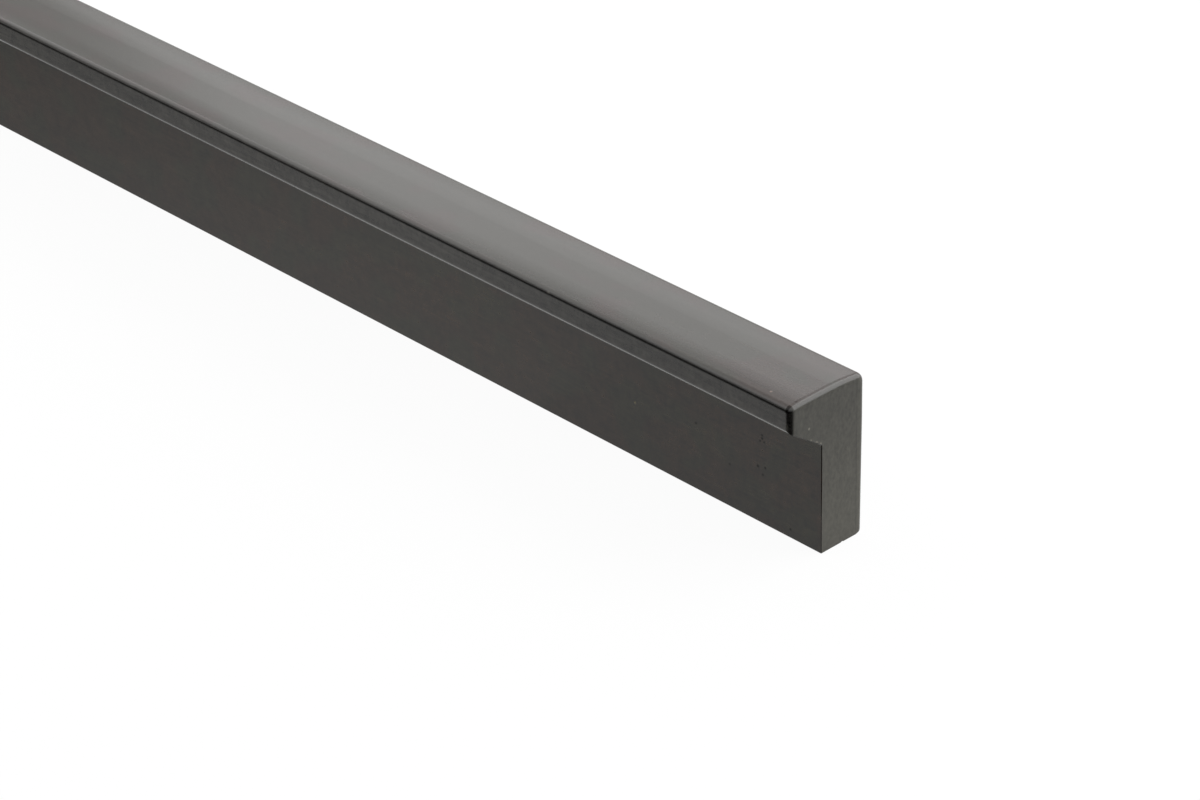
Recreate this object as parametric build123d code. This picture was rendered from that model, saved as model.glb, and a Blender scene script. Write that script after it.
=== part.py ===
"""Handleless finger pull profile: one solid bar with an inverted-L section.

A flat body stands on its base and a lip overhangs its front, so that fingers
go up under the lip. Millimetres. X runs along the bar, -Y is the front that
the lip overhangs, +Z is up. The origin is at the middle of the base.
"""
import math
import os

from build123d import *

# Overall sizes
LENGTH = 300.0
HEIGHT = 40.0
BODY_THICKNESS = 13.2           # at the upright upper part of the back
LIP_OVERHANG = 9.5

# Top, flat along its middle and eased down to both long edges
SHOULDER_RADIUS = 60.0
FRONT_SHOULDER_ANGLE = 4.5      # degrees that each shoulder turns through
BACK_SHOULDER_ANGLE = 7.5
TOP_FRONT_RADIUS = 1.4          # the small edge below each shoulder
TOP_BACK_RADIUS = 2.2

# Lip
LIP_FRONT_HEIGHT = 6.3
UNDERSIDE_SLOPE = 34.8          # degrees that the underside falls towards the body
LIP_BOTTOM_RADIUS = 1.5

# Body
BACK_LEAN = 0.7                 # degrees that the lower part of the back leans in
BACK_LEAN_HEIGHT = 28.0         # where that lean starts
BASE_BACK_RADIUS = 2.4
BASE_FRONT_RADIUS = 0.2
ROOT_RADIUS = 0.4               # between the underside and the body's front

# Guide groove along the middle of the base
GROOVE_WIDTH = 1.4
GROOVE_DEPTH = 0.35

# Ends
END_RADIUS = 1.5                # between each end face and the lip front, top and back
END_BREAK = 0.15                # chamfer round the rest of the end face

DEPTH = BODY_THICKNESS + LIP_OVERHANG
LIP_FRONT = -DEPTH / 2
BACK = DEPTH / 2
BODY_FRONT = BACK - BODY_THICKNESS
LIP_BOTTOM = HEIGHT - LIP_FRONT_HEIGHT
ROOT_HEIGHT = LIP_BOTTOM - LIP_OVERHANG * math.tan(math.radians(UNDERSIDE_SLOPE))


def back_at(height):
    """Where the back face lies at a height."""
    return BACK - max(0, BACK_LEAN_HEIGHT - height) * math.tan(math.radians(BACK_LEAN))


def eased_edge(outside, inward, edge_radius, shoulder_angle):
    """A small edge up from an outside face, and the soft shoulder from it to the flat top.

    Inward is 1 where the bar lies on the +Y side of the face, and -1 where it lies on the other.
    """
    turn = math.radians(shoulder_angle)
    edge_centre = outside + inward * edge_radius
    edge_height = HEIGHT - SHOULDER_RADIUS + (SHOULDER_RADIUS - edge_radius) * math.cos(turn)
    shoulder_centre = edge_centre + inward * (SHOULDER_RADIUS - edge_radius) * math.sin(turn)
    edge = CenterArc((edge_centre, edge_height), edge_radius,
                     90 + inward * 90, inward * (shoulder_angle - 90))
    shoulder = CenterArc((shoulder_centre, HEIGHT - SHOULDER_RADIUS), SHOULDER_RADIUS,
                         90 + inward * shoulder_angle, -inward * shoulder_angle)
    return edge, shoulder


def outline_down_to(bottom):
    """The lip's front edge, the top and the back, which ends at a given height, as lines and arcs."""
    front_edge, front_shoulder = eased_edge(LIP_FRONT, 1, TOP_FRONT_RADIUS, FRONT_SHOULDER_ANGLE)
    back_edge, back_shoulder = eased_edge(BACK, -1, TOP_BACK_RADIUS, BACK_SHOULDER_ANGLE)
    return [
        front_edge,
        front_shoulder,
        Line(front_shoulder @ 1, back_shoulder @ 1),
        back_shoulder,
        back_edge,
        Polyline(back_edge @ 0, (BACK, BACK_LEAN_HEIGHT), (back_at(bottom), bottom)),
    ]


def section():
    """The bar's section, drawn with Y to the right and Z up, with its long edges rounded."""
    outline = outline_down_to(0)
    base_front = (BODY_FRONT, 0)
    base_back = (back_at(0), 0)
    lip_corner = (LIP_FRONT, LIP_BOTTOM)
    root = (BODY_FRONT, ROOT_HEIGHT)
    face = make_face(outline + [Polyline(base_back, base_front, root, lip_corner, outline[0] @ 0)])
    rounded = (
        (base_front, BASE_FRONT_RADIUS),
        (base_back, BASE_BACK_RADIUS),
        (lip_corner, LIP_BOTTOM_RADIUS),
        (root, ROOT_RADIUS),
    )
    for corner, radius in rounded:
        face = fillet(face.vertices().sort_by_distance(corner)[0], radius)
    return face


def along_bar(face):
    """A prism of the bar's length from a face drawn as the section is."""
    return extrude(Plane.YZ * face, LENGTH / 2, both=True)


def end_edges(solid):
    """The edges round the two flat end faces."""
    return solid.faces().filter_by(Axis.X).edges()


def rounded_block():
    """A block with the bar's own lip front, top and back, rounded at its ends, and deeper below."""
    bottom = -DEPTH / 2
    outline = outline_down_to(bottom)
    block = along_bar(make_face(
        outline + [Polyline((back_at(bottom), bottom), (LIP_FRONT, bottom), outline[0] @ 0)]))
    shared = [edge for edge in end_edges(block) if edge.center().Z > bottom + END_RADIUS]
    return fillet(shared, END_RADIUS)


def guide_groove():
    """A V-shaped cutter along the middle of the base."""
    middle = (BODY_FRONT + back_at(0)) / 2
    half = GROOVE_WIDTH / 2
    diamond = Polyline((middle - half, 0), (middle, GROOVE_DEPTH), (middle + half, 0),
                       (middle, -GROOVE_DEPTH), close=True)
    return along_bar(make_face(diamond))


bar = along_bar(section())
bar = chamfer(end_edges(bar), END_BREAK)
bar &= rounded_block()
bar -= guide_groove()

os.makedirs("parts", exist_ok=True)
export_step(bar.solid(), "parts/finger_pull_profile.step")
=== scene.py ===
import math

import bpy
from mathutils import Matrix, Vector


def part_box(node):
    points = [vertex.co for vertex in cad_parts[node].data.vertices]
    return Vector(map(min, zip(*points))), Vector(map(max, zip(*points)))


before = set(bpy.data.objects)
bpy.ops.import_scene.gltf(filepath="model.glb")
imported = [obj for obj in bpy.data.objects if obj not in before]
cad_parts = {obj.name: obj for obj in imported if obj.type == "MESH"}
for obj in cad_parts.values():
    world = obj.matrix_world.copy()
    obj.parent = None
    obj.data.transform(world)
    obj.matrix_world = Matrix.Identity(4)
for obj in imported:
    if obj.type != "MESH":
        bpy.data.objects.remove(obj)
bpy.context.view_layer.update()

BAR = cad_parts["finger_pull_profile"]
LOW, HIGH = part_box("finger_pull_profile")
MM = 1000.0                            # millimetres in a metre

# Sizes of the bar's section, in metres
LIP_OVERHANG = 0.0095
BODY_FRONT = LOW.y + LIP_OVERHANG

# The photograph's camera, solved from the bar's long edges and its near end
IMAGE_WIDTH, IMAGE_HEIGHT = 1200, 800
SENSOR_WIDTH = 36.0
FOCAL_PIXELS = 3869.7
AZIMUTH, ELEVATION, ROLL = 47.328, 30.501, -1.661
ANCHOR_PIXEL = (821.24, 554.11)        # the near end's bottom front corner
ANCHOR_DEPTH = 0.8241
CLIP_START, CLIP_END = 0.05, 20

# Colours of the finish
FRONT_BROWN = (0.0228, 0.0136, 0.0074)
FRONT_OLIVE = (0.0184, 0.0160, 0.0082)
LIP_COLOUR = (0.0280, 0.0262, 0.0225)
TOP_GREY = (0.0265, 0.0235, 0.0175)
TOP_WARM = (0.0310, 0.0210, 0.0170)
END_COLOUR = (0.0405, 0.0388, 0.0315)
# painted highlight: the light grey blended in along the lip's lower edge and the top's end edge
HIGHLIGHT_COLOUR = (0.11, 0.11, 0.105)
PIT_COLOUR = (0.005, 0.005, 0.004)

# Gloss of the finish
GLOSS_IOR = 1.38
GLOSS_ROUGHNESS = 0.23
END_ROUGHER = 0.15                     # added to the roughness on the cut ends
FOOT_ROUGHNESS = 0.6                   # times the roughness along the lip's lower edge, where a highlight is painted
SPECULAR = 0.5
PIT_DULLER = 0.3                       # taken off the specular level in the pits

# Grain: its size in millimetres, its detail, and how much it changes the roughness and the surface
GRAIN_SIZE, GRAIN_DETAIL = (0.9, 0.7, 0.9), 3.0
GRAIN_ROUGHNESS = 0.010
GRAIN_BUMP, GRAIN_DEPTH = 0.02, 0.00004

# Layers of mottle on each face: size along X, Y and Z in millimetres, detail and strength
FRONT_MOTTLE = (
    ((4.0, 4.0, 3.0), 2.0, 0.20),
    ((1.2, 1.2, 2.0), 2.0, 0.28),
    ((3.0, 0.9, 0.8), 2.0, 0.25),
    ((26.0, 0.9, 0.7), 2.0, 0.25),
)
TOP_MOTTLE = (
    ((30.0, 0.8, 0.8), 2.0, 0.15),
    ((1.6, 0.8, 0.8), 2.0, 0.12),
)
END_MOTTLE = (
    ((0.7, 0.7, 1.1), 3.0, 0.30),
    ((1.8, 1.8, 3.0), 2.0, 0.14),
)

# Patches of a face's second colour: their size in millimetres, and the noise at which they start and are full
FRONT_PATCHES = (11, 11, 9), -0.15, 0.45
TOP_PATCHES = (16, 9, 9), -0.20, 0.40
PATCH_DETAIL = 1.0
NOISE_MIDDLE, NOISE_GAIN = 0.5, 4.0    # these bring the noise to about -1 to 1

# Soft steps of the finish by place, in millimetres: where each starts and where it is full
LIP_FROM_BELOW = (30, 34)
LIP_FROM_BEHIND = (6, 2)
NEAR_PART = (40, 80)
# heights over which the painted shade down the lip's near corner widens
CORNER_TAPER = (34.5, 38.5)
END_FOOT = (HIGH.z * MM, LOW.z * MM)
END_STRIP = 8.9                        # depth where the painted highlight strip along the end's rounded back edge starts
STRIP_RIM = 0.2
PAINTED_SHADE_LINE_SOFT = 0.15

# How much lighter those parts are, as a share
NEAR_PART_SHADE = -0.20
END_FOOT_SHADE = 0.55
# a painted highlight on the strip along the end's rounded back edge, and painted shade on the thin line where
# it starts
PAINTED_HIGHLIGHT_STRIP = 0.20
PAINTED_SHADE_LINE = -0.20

# Soft steps of the finish by direction, as parts of the surface's normal
TOP_UPWARD = (0.5, 0.9)
END_ENDWARD = (0.80, 0.95)

# Painted shade and painted highlights along the edges: the band of the normal's first part, with its soft
# margin, and the step of its second
# painted shade: a dark line along the lip's top front edge
LIP_PAINTED_SHADE = (0.16, 0.40, 0.10), (0.5, 0.8)          # upward, forward
# painted highlight: a light line along the lip's lower edge
LIP_FOOT_HIGHLIGHT = (-0.62, -0.35, 0.10), (0.3, 0.5)        # upward, forward
# painted highlight: a light band along the top's end edge
TOP_END_HIGHLIGHT = (0.50, 0.85, 0.12), (0.3, 0.5)      # endward, upward
# painted shade: a dark line down the lip's near corner, wider towards its top
CORNER_ENDWARD = 0.45                              # where the line down the lip's corner starts at its foot
CORNER_WIDENING = 0.35                             # how much sooner it starts at its top
CORNER_SOFT = 0.1
CORNER_FORWARD = (0.2, 0.4)
# how dark the painted shade lines are, and how much of the painted highlight the top's end edge takes
LIP_PAINTED_SHADE_FACTOR = 0.35
CORNER_PAINTED_SHADE_FACTOR = 0.40
TOP_END_HIGHLIGHT_SHARE = 0.5

# Small light marks: place and radius in millimetres, and how many times lighter the finish is there
LIGHT_MARKS = (
    ((142.1, -8.9, 40.0), 0.30, 5.0),
    ((150.0, -5.7, 32.7), 0.30, 3.0),
    ((93.3, -1.85, 14.2), 0.32, 7.0),
    ((76.3, -11.2, 39.1), 0.40, 3.0),
    ((150.0, -5.1, 29.6), 0.30, 2.2),
    ((150.0, -3.4, 28.5), 0.30, 2.4),
    ((150.0, -2.2, 27.6), 0.30, 2.2),
)

# Small dark pits: place and radius in millimetres
DARK_PITS = (
    ((112.4, -1.85, 16.9), 0.30),
    ((132.5, -1.85, 22.2), 0.28),
    ((132.5, -1.85, 21.4), 0.32),
    ((131.9, -1.85, 20.6), 0.26),
    ((133.1, -1.85, 20.7), 0.26),
    ((131.2, -1.85, 14.0), 0.34),
    ((133.4, -1.85, 14.4), 0.30),
    ((132.7, -1.85, 12.4), 0.28),
    ((122.7, -1.85, 10.8), 0.26),
    ((140.9, -1.85, 2.2), 0.28),
)
SPOT_OUTSIDE, SPOT_INSIDE = 1.5, 0.5   # shares of a spot's radius where it starts and where it is full

# The studio, in metres
WHITE, BLACK = (1, 1, 1, 1), (0, 0, 0, 1)
LAMP_AIM = Vector((0.05, 0, 0.02))
CLOTH_LIFT, CARD_LIFT = 0.0004, 0.0003
CARD_FRONT = -0.11


def view_axes(azimuth, elevation, roll=0.0):
    """The right, up and back directions of a view, with azimuth 0 looking along +Y."""
    a, e, r = (math.radians(v) for v in (azimuth, elevation, roll))
    back = Vector((math.sin(a) * math.cos(e), -math.cos(a) * math.cos(e), math.sin(e)))
    level = Vector((0, 0, 1)).cross(back).normalized()
    upright = back.cross(level)
    right = level * math.cos(r) + upright * math.sin(r)
    up = upright * math.cos(r) - level * math.sin(r)
    return right, up, back


def turned_to(right, up, back):
    """The rotation whose X, Y and Z axes are these three directions."""
    return Matrix((right, up, back)).transposed().to_euler()


def add_object(name, data):
    thing = bpy.data.objects.new(name, data)
    bpy.context.scene.collection.objects.link(thing)
    return thing


def make_camera():
    """The camera that sees the near end's bottom front corner at its pixel of the photograph."""
    right, up, back = view_axes(AZIMUTH, ELEVATION, ROLL)
    anchor = Vector((HIGH.x, BODY_FRONT, LOW.z))
    across = (ANCHOR_PIXEL[0] - IMAGE_WIDTH / 2) / FOCAL_PIXELS
    down = (ANCHOR_PIXEL[1] - IMAGE_HEIGHT / 2) / FOCAL_PIXELS
    data = bpy.data.cameras.new("camera")
    data.sensor_width = SENSOR_WIDTH
    data.lens = FOCAL_PIXELS / IMAGE_WIDTH * SENSOR_WIDTH
    data.clip_start, data.clip_end = CLIP_START, CLIP_END
    camera = add_object("camera", data)
    camera.location = anchor + ANCHOR_DEPTH * (back - right * across + up * down)
    camera.rotation_euler = turned_to(right, up, back)
    bpy.context.scene.camera = camera


class Graph:
    """A node tree being built, with a short call for each kind of node that is used."""

    # Sockets of a Mix node that blends colours
    FIRST_COLOUR, SECOND_COLOUR, BLENDED_COLOUR = 6, 7, 2

    def __init__(self, tree):
        self.tree = tree
        tree.nodes.clear()

    def feed(self, socket, value):
        if isinstance(value, bpy.types.NodeSocket):
            self.tree.links.new(value, socket)
        else:
            socket.default_value = value

    def add(self, kind, inputs, **settings):
        node = self.tree.nodes.new("ShaderNode" + kind)
        for name, value in settings.items():
            setattr(node, name, value)
        for name, value in inputs.items():
            self.feed(node.inputs[name], value)
        return node

    def math(self, operation, a, b=0.0):
        return self.add("Math", {0: a, 1: b}, operation=operation).outputs[0]

    def scaled(self, vector, factor):
        return self.add("VectorMath", {0: vector, "Scale": factor}, operation="SCALE").outputs[0]

    def parts(self, vector):
        """The X, Y and Z of a vector."""
        return self.add("SeparateXYZ", {0: vector}).outputs

    def rise(self, value, start, stop):
        """0 up to start and 1 from stop on, with a smooth step between them."""
        inputs = {"Value": value, "From Min": start, "From Max": stop}
        return self.add("MapRange", inputs, interpolation_type="SMOOTHSTEP").outputs[0]

    def between(self, value, low, high, soft):
        """1 from low to high, fading out over a soft margin on both sides."""
        above = self.rise(value, low - soft, low)
        below = self.rise(value, high + soft, high)
        return self.math("MULTIPLY", above, below)

    def line(self, value, band, other, step):
        """1 where one value lies in its band and another is past its step."""
        return self.math("MULTIPLY", self.between(value, *band), self.rise(other, *step))

    def cloud(self, place, size, detail):
        """Noise about 0, from about -1 to 1, whose patches have this size along X, Y and Z."""
        grid = tuple(1 / length for length in size)
        spot = self.add("VectorMath", {0: place, 1: grid}, operation="MULTIPLY").outputs[0]
        noise = self.add("TexNoise", {"Vector": spot, "Scale": 1.0, "Detail": detail}).outputs[0]
        return self.math("MULTIPLY", self.math("SUBTRACT", noise, NOISE_MIDDLE), NOISE_GAIN)

    def patches(self, place, size, start, stop):
        """1 in large soft patches and 0 between them."""
        return self.rise(self.cloud(place, size, PATCH_DETAIL), start, stop)

    def varied(self, place, mottle, *parts):
        """1 plus each layer of mottle and each other part, all times their strengths."""
        layers = [(self.cloud(place, size, detail), strength) for size, detail, strength in mottle]
        total = 1.0
        for share, strength in (*layers, *parts):
            total = self.math("ADD", self.math("MULTIPLY", share, strength), total)
        return total

    def blend(self, share, first, second):
        """The first colour where share is 0 and the second where it is 1."""
        node = self.add("Mix", {0: share}, data_type="RGBA")
        for socket, colour in ((self.FIRST_COLOUR, first), (self.SECOND_COLOUR, second)):
            self.feed(node.inputs[socket], (*colour, 1) if isinstance(colour, tuple) else colour)
        return node.outputs[self.BLENDED_COLOUR]

    def changed(self, value, share, factor):
        """The value, times a factor where share is 1."""
        gain = self.math("ADD", self.math("MULTIPLY", share, factor - 1), 1.0)
        return self.math("MULTIPLY", value, gain)


def new_material(name):
    material = bpy.data.materials.new(name)
    material.use_nodes = True
    return material, Graph(material.node_tree)


def front_colour(g, place, along, depth, height):
    """Cloudy brown and olive on the body, greyer and streaked on the lip, and darker in its near part."""
    body = g.blend(g.patches(place, *FRONT_PATCHES), FRONT_BROWN, FRONT_OLIVE)
    lip = g.math("MULTIPLY", g.rise(height, *LIP_FROM_BELOW), g.rise(depth, *LIP_FROM_BEHIND))
    near_part = g.rise(along, *NEAR_PART)
    shade = g.varied(place, FRONT_MOTTLE, (near_part, NEAR_PART_SHADE))
    return g.scaled(g.blend(lip, body, LIP_COLOUR), shade)


def top_colour(g, place):
    """Nearly even grey with warmer patches, and faint streaks along the bar."""
    colour = g.blend(g.patches(place, *TOP_PATCHES), TOP_GREY, TOP_WARM)
    return g.scaled(colour, g.varied(place, TOP_MOTTLE))


def end_colour(g, place, depth, height):
    """The cut end: paler, mottled, a little lighter towards the base, with a painted highlight on a strip
    along its rounded back edge and a painted dark line where that strip starts.
    """
    foot = g.rise(height, *END_FOOT)
    # painted highlight on the strip along the rounded back edge, and painted shade on a thin line just before
    # it
    strip = g.rise(depth, END_STRIP, END_STRIP + STRIP_RIM)
    painted_shade_line = g.between(depth, END_STRIP - STRIP_RIM, END_STRIP, PAINTED_SHADE_LINE_SOFT)
    shade = g.varied(place, END_MOTTLE, (foot, END_FOOT_SHADE), (strip, PAINTED_HIGHLIGHT_STRIP), (painted_shade_line, PAINTED_SHADE_LINE))
    return g.scaled(END_COLOUR, shade)


def near_spot(g, place, centre, radius):
    """1 at a small spot and 0 away from it, with a soft rim."""
    away = g.add("VectorMath", {0: place, 1: centre}, operation="DISTANCE").outputs["Value"]
    return g.rise(away, radius * SPOT_OUTSIDE, radius * SPOT_INSIDE)


def marked(g, place, shade):
    """The shade, with the small light marks added."""
    for centre, radius, factor in LIGHT_MARKS:
        shade = g.changed(shade, near_spot(g, place, centre, radius), factor)
    return shade


def in_pits(g, place):
    """1 in the small dark pits and 0 elsewhere."""
    share = 0.0
    for centre, radius in DARK_PITS:
        share = g.math("MAXIMUM", share, near_spot(g, place, centre, radius))
    return share


def dark_satin():
    """The bar's dark satin finish, worked out from the place and the direction of each surface, with painted
    shade and painted highlights along some edges.
    """
    material, g = new_material("dark_satin")
    coordinates = g.add("TexCoord", {})
    place = g.scaled(coordinates.outputs["Object"], MM)
    along, depth, height = g.parts(place)
    sideways, backward, upward = g.parts(coordinates.outputs["Normal"])
    endward = g.math("ABSOLUTE", sideways)
    forward = g.math("MULTIPLY", backward, -1.0)

    front = front_colour(g, place, along, depth, height)
    colour = g.blend(g.rise(upward, *TOP_UPWARD), front, top_colour(g, place))
    on_end = g.rise(endward, *END_ENDWARD)
    colour = g.blend(on_end, colour, end_colour(g, place, depth, height))

    # painted shade and painted highlights along the edges, picked out by the direction of the surface
    lip_painted_shade = g.line(upward, LIP_PAINTED_SHADE[0], forward, LIP_PAINTED_SHADE[1])
    lip_foot_highlight = g.line(upward, LIP_FOOT_HIGHLIGHT[0], forward, LIP_FOOT_HIGHLIGHT[1])
    top_end_highlight = g.line(endward, TOP_END_HIGHLIGHT[0], upward, TOP_END_HIGHLIGHT[1])
    widening = g.math("MULTIPLY", g.rise(height, *CORNER_TAPER), CORNER_WIDENING)
    corner_start = g.math("SUBTRACT", CORNER_ENDWARD, widening)
    corner_full = g.math("ADD", corner_start, CORNER_SOFT)
    corner_painted_shade = g.math("MULTIPLY", g.rise(endward, corner_start, corner_full),
                         g.rise(forward, *CORNER_FORWARD))

    # painted shade: darker lines along the lip's top front edge and down its near corner
    shade = g.changed(1.0, lip_painted_shade, LIP_PAINTED_SHADE_FACTOR)
    shade = g.changed(shade, corner_painted_shade, CORNER_PAINTED_SHADE_FACTOR)
    shade = marked(g, place, shade)
    # painted highlight: light grey along the lip's lower edge and the top's end edge
    painted_highlight = g.math("ADD", lip_foot_highlight, g.math("MULTIPLY", top_end_highlight, TOP_END_HIGHLIGHT_SHARE))
    colour = g.blend(painted_highlight, g.scaled(colour, shade), HIGHLIGHT_COLOUR)
    pits = in_pits(g, place)
    colour = g.blend(pits, colour, PIT_COLOUR)
    specular = g.math("SUBTRACT", SPECULAR, g.math("MULTIPLY", pits, PIT_DULLER))

    grain = g.cloud(place, GRAIN_SIZE, GRAIN_DETAIL)
    roughness = g.math("ADD", g.math("MULTIPLY", grain, GRAIN_ROUGHNESS), GLOSS_ROUGHNESS)
    roughness = g.math("ADD", roughness, g.math("MULTIPLY", on_end, END_ROUGHER))
    roughness = g.changed(roughness, lip_foot_highlight, FOOT_ROUGHNESS)
    bump = g.add("Bump", {"Height": grain, "Strength": GRAIN_BUMP, "Distance": GRAIN_DEPTH})

    shader = g.add("BsdfPrincipled", {
        "Base Color": colour,
        "Roughness": roughness,
        "IOR": GLOSS_IOR,
        "Specular IOR Level": specular,
        "Normal": bump.outputs[0],
    })
    g.add("OutputMaterial", {"Surface": shader.outputs[0]})
    return material


def seen_share(g, share):
    """A factor that is share for the rays that show the background, and 0 for those that light the bar."""
    path = g.add("LightPath", {}).outputs
    reflected = g.math("MAXIMUM", path["Is Glossy Ray"], path["Is Transmission Ray"])
    seen = g.math("MAXIMUM", path["Is Camera Ray"], reflected)
    return g.math("MULTIPLY", seen, share)


def make_world(fill):
    """A white surround, which lights the bar at a lower level than it shows."""
    world = bpy.data.worlds.new("studio")
    world.use_nodes = True
    g = Graph(world.node_tree)
    light = g.add("Background", {"Color": WHITE, "Strength": fill})
    seen = g.add("Background", {"Color": WHITE, "Strength": 1.0})
    mix = g.add("MixShader", {0: seen_share(g, 1.0), 1: light.outputs[0], 2: seen.outputs[0]})
    g.add("OutputWorld", {"Surface": mix.outputs[0]})
    bpy.context.scene.world = world


def stage_piece(name, verts, faces, material):
    mesh = bpy.data.meshes.new(name)
    mesh.from_pydata(verts, [], faces)
    mesh.materials.append(material)
    piece = add_object(name, mesh)
    return piece


def make_floor(white_share, colour, half=4.0):
    """A white floor that still takes the bar's shadow."""
    material, g = new_material("floor")
    diffuse = g.add("BsdfDiffuse", {"Color": (colour, colour, colour, 1)})
    white = g.add("Emission", {"Strength": 1.0})
    mix = g.add("MixShader", {0: seen_share(g, white_share), 1: diffuse.outputs[0], 2: white.outputs[0]})
    g.add("OutputMaterial", {"Surface": mix.outputs[0]})
    corners = [(-half, -half), (half, -half), (half, half), (-half, half)]
    stage_piece("floor", [(x, y, LOW.z) for x, y in corners], [(0, 1, 2, 3)], material)


def black_cloth():
    material, g = new_material("black_cloth")
    diffuse = g.add("BsdfDiffuse", {"Color": BLACK})
    g.add("OutputMaterial", {"Surface": diffuse.outputs[0]})
    return material


def strip(name, first_row, second_row, material):
    """A strip of faces between two rows of points, seen only in the bar's reflections."""
    count = len(first_row)
    faces = [(i, i + 1, i + 1 + count, i + count) for i in range(count - 1)]
    piece = stage_piece(name, [*first_row, *second_row], faces, material)
    piece.visible_camera = False
    piece.visible_diffuse = False
    piece.visible_shadow = False
    piece.visible_transmission = False


def along_bar(far, near, y, z):
    """The two points of a straight row beside the bar."""
    return [(far, y, z), (near, y, z)]


def round_corner(radius, height, start=-18, stop=98, steps=24):
    """Points round the bar's near front corner between two azimuths."""
    angles = [math.radians(start + (stop - start) * i / steps) for i in range(steps + 1)]
    return [(HIGH.x + radius * math.sin(a), LOW.y - radius * math.cos(a), height) for a in angles]


def hang_cloths():
    """Black cloths in front of the lip and round the near corner, which draw the dark edge lines."""
    cloth = black_cloth()
    far, near, front, top = -0.60, 0.12, -0.12, 0.062
    strip("front_cloth", along_bar(far, near, front, LOW.z), along_bar(far, near, front, top), cloth)
    inner, outer, top = 0.012, 0.5, 0.40
    floor = LOW.z + CLOTH_LIFT
    strip("corner_cloth", round_corner(inner, floor), round_corner(outer, floor), cloth)
    strip("camera_cloth", round_corner(outer, floor), round_corner(outer, top), cloth)


def lay_grey_card(near, far, darkest):
    """A glowing card on the floor before the bar, seen only in reflections, whose glow fades towards the far
    end: a painted reflection.
    """
    material, g = new_material("grey_card")
    along = g.parts(g.add("TexCoord", {}).outputs["Object"])[0]
    level = g.math("ADD", g.math("MULTIPLY", g.rise(along, far, near), 1 - darkest), darkest)
    light = g.add("Emission", {"Strength": level})
    g.add("OutputMaterial", {"Surface": light.outputs[0]})
    height = LOW.z + CARD_LIFT
    strip("grey_card", along_bar(far, near, BODY_FRONT, height), along_bar(far, near, CARD_FRONT, height),
          material)


def softbox(name, azimuth, elevation, distance, width, height, radiance):
    """A rectangular lamp aimed at the bar's near half."""
    right, up, back = view_axes(azimuth, elevation)
    data = bpy.data.lights.new(name, "AREA")
    data.shape = "RECTANGLE"
    data.size, data.size_y = width, height
    data.energy = radiance * math.pi * width * height
    lamp = add_object(name, data)
    lamp.location = LAMP_AIM + back * distance
    lamp.rotation_euler = turned_to(right, up, back)


make_camera()
BAR.data.materials.clear()
BAR.data.materials.append(dark_satin())
make_world(fill=0.44)
make_floor(white_share=0.95, colour=0.9)
softbox("left_softbox", azimuth=208, elevation=28.4, distance=2.4, width=2.28, height=0.74, radiance=1.93)
softbox("overhead_softbox", azimuth=282, elevation=44, distance=1.3, width=1.7, height=0.62, radiance=2.3)
softbox("high_softbox", azimuth=190, elevation=51, distance=1.3, width=0.85, height=0.46, radiance=1.7)
softbox("right_softbox", azimuth=146, elevation=34, distance=1.3, width=1.20, height=1.30, radiance=3.35)
hang_cloths()
lay_grey_card(near=0.06, far=-0.30, darkest=0.45)
bpy.context.scene.view_settings.view_transform = "Standard"
